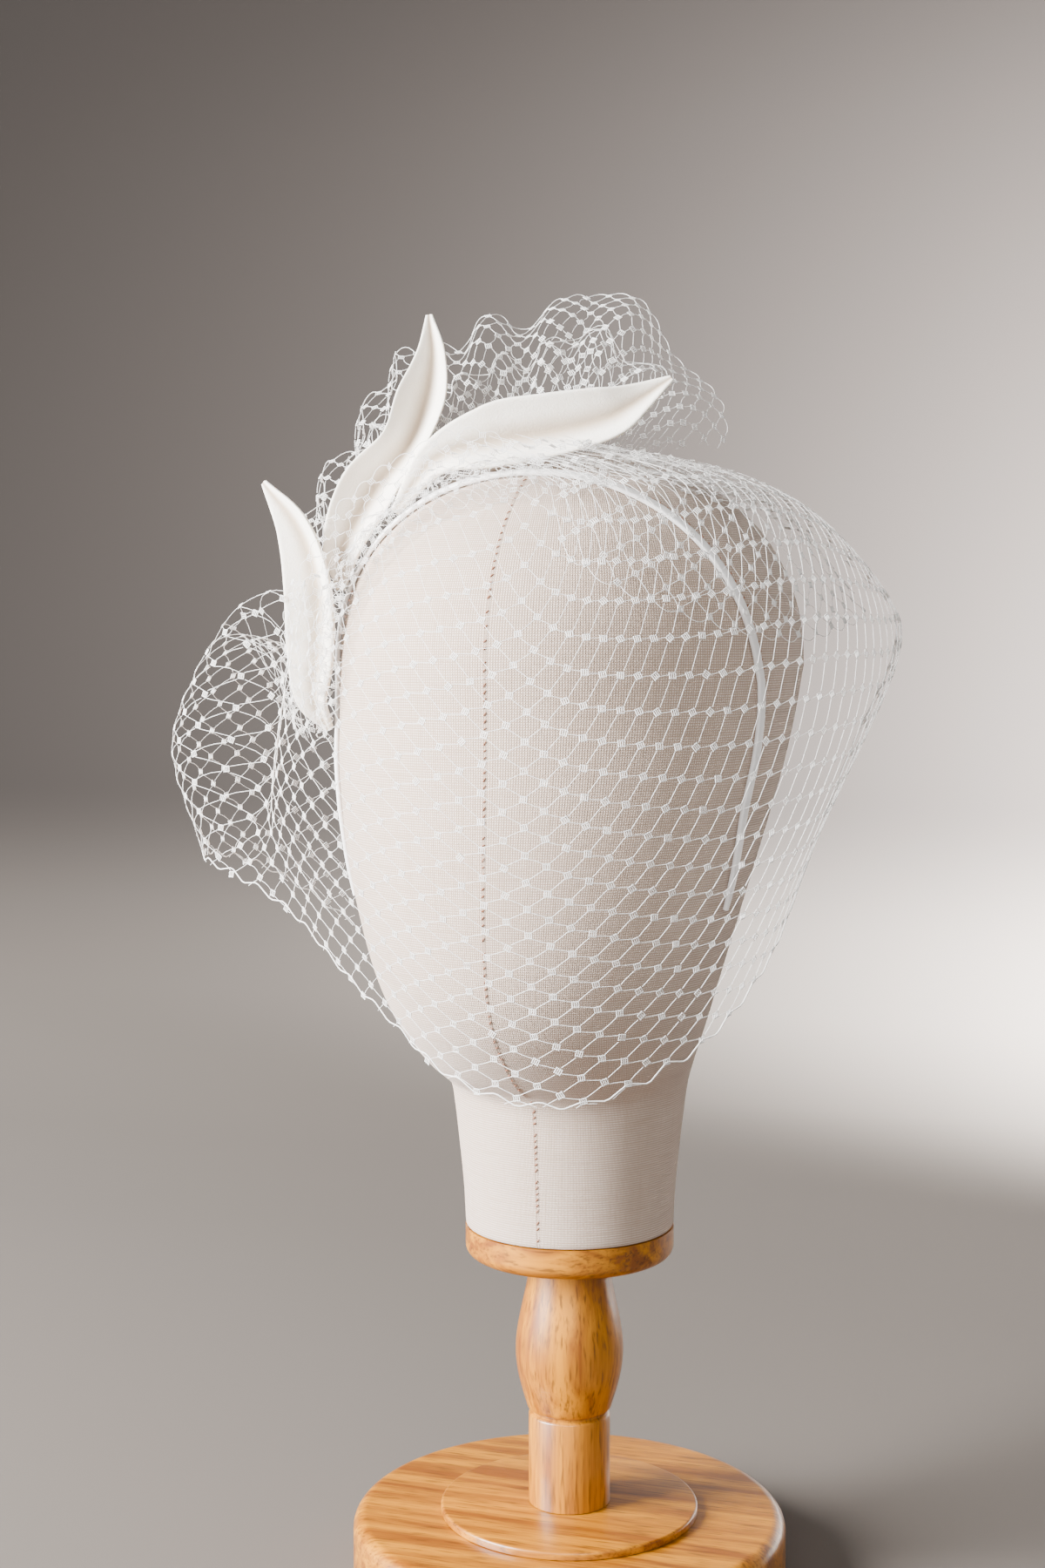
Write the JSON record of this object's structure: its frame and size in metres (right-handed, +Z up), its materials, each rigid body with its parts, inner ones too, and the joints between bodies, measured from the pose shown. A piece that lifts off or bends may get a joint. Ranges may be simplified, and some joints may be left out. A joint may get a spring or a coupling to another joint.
{
  "type": "bridal veil on head form stand",
  "caption": "Birdcage veil of diamond netting with felt leaves on a thin headband, worn by a linen head form on a turned wooden stand.",
  "frame": {"origin": "middle of the stand base's underside", "axes": "+Z up, the head form faces -Y, the wearer's left is +X"},
  "size_m": [0.2503, 0.2274, 0.4528],
  "materials": {
    "beech": "clear satin lacquer",
    "linen": "plain woven linen",
    "satin": "satin ribbon",
    "felt": "smooth fur felt",
    "netting": "diamond veil netting"
  },
  "bodies": {
    "root": {"stand_base": "beech", "base_collar": "beech", "stand_spindle": "beech", "neck_plate": "beech", "head_form": "linen", "headband": "satin", "leaf_low": "felt", "leaf_middle": "felt", "leaf_top": "felt", "veil_heading": "netting", "veil_face": "netting", "veil_flap": "netting", "veil_ruffle": "netting"}
  },
  "joints": []
}
